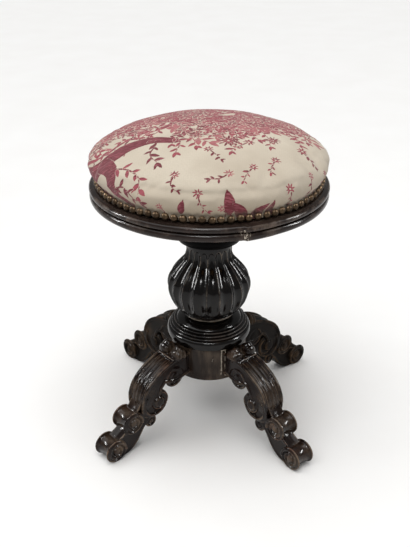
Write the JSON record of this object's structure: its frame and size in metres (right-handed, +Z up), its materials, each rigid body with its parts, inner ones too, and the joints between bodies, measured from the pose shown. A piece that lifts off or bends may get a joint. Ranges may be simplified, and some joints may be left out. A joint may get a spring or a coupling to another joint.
{
  "type": "revolving piano stool",
  "caption": "Round upholstered screw stool with nailed cushion, fluted baluster column and scrolled legs; the seat turns on an iron screw to rise and fall.",
  "frame": {"origin": "on the floor, on the axis of the column", "axes": "+Z up along the column and the screw; the legs stand at 45 degrees to +X and +Y; -Y is the side that faces the picture's camera"},
  "size_m": [0.356, 0.356, 0.5002],
  "materials": {
    "ebonised_wood": "black stain and varnish, glossy, worn at the edges",
    "carved_leg_wood": "black stain worn to brown, dusty",
    "dowel_wood": "bare, glued",
    "board_wood": "bare softwood",
    "iron": "dark, lightly oiled",
    "screw_steel": "dull",
    "nail_bronze": "antique bronze, domed heads",
    "washer_leather": "plain, greased",
    "stuffing": "curled hair",
    "printed_cotton": "cream cotton with a crimson and rose leaf print"
  },
  "bodies": {
    "base": {"leg_hub": "ebonised_wood", "leg_front_left": "carved_leg_wood", "leg_front_right": "carved_leg_wood", "leg_back_right": "carved_leg_wood", "leg_back_left": "carved_leg_wood", "dowel_front_left_1": "dowel_wood", "dowel_front_left_2": "dowel_wood", "dowel_front_right_1": "dowel_wood", "dowel_front_right_2": "dowel_wood", "dowel_back_right_1": "dowel_wood", "dowel_back_right_2": "dowel_wood", "dowel_back_left_1": "dowel_wood", "dowel_back_left_2": "dowel_wood", "column_moulding": "ebonised_wood", "column_vase": "ebonised_wood", "column_capital": "ebonised_wood", "screw_nut": "iron", "nut_screw_1": "screw_steel", "nut_screw_2": "screw_steel", "nut_screw_3": "screw_steel"},
    "washer": {"leather_washer": "washer_leather"},
    "seat": {"screw_spindle": "iron", "stop_collar": "iron", "stop_pin": "screw_steel", "seat_spider": "iron", "spider_pin": "screw_steel", "seat_board": "board_wood", "seat_rim": "ebonised_wood", "spider_screw_1": "screw_steel", "spider_screw_2": "screw_steel", "spider_screw_3": "screw_steel", "spider_screw_4": "screw_steel", "rim_screw_1": "screw_steel", "rim_screw_2": "screw_steel", "rim_screw_3": "screw_steel", "rim_screw_4": "screw_steel", "hair_stuffing": "stuffing", "cushion_cover": "printed_cotton", "nail_trim": "nail_bronze"}
  },
  "joints": [
    {"name": "seat_spin", "type": "hinge", "parent": "base", "child": "washer", "pos_m": [0, 0, 0.3578], "axis": [0, 0, 1], "range_deg": [0, 3060]},
    {"name": "seat_lift", "type": "slide", "parent": "washer", "child": "seat", "axis": [0, 0, 1], "range_m": [0, 0.102]}
  ],
  "couplings": [
    {"joint": "seat_lift", "follows": "seat_spin", "m_per_rad": 0.0019099}
  ]
}
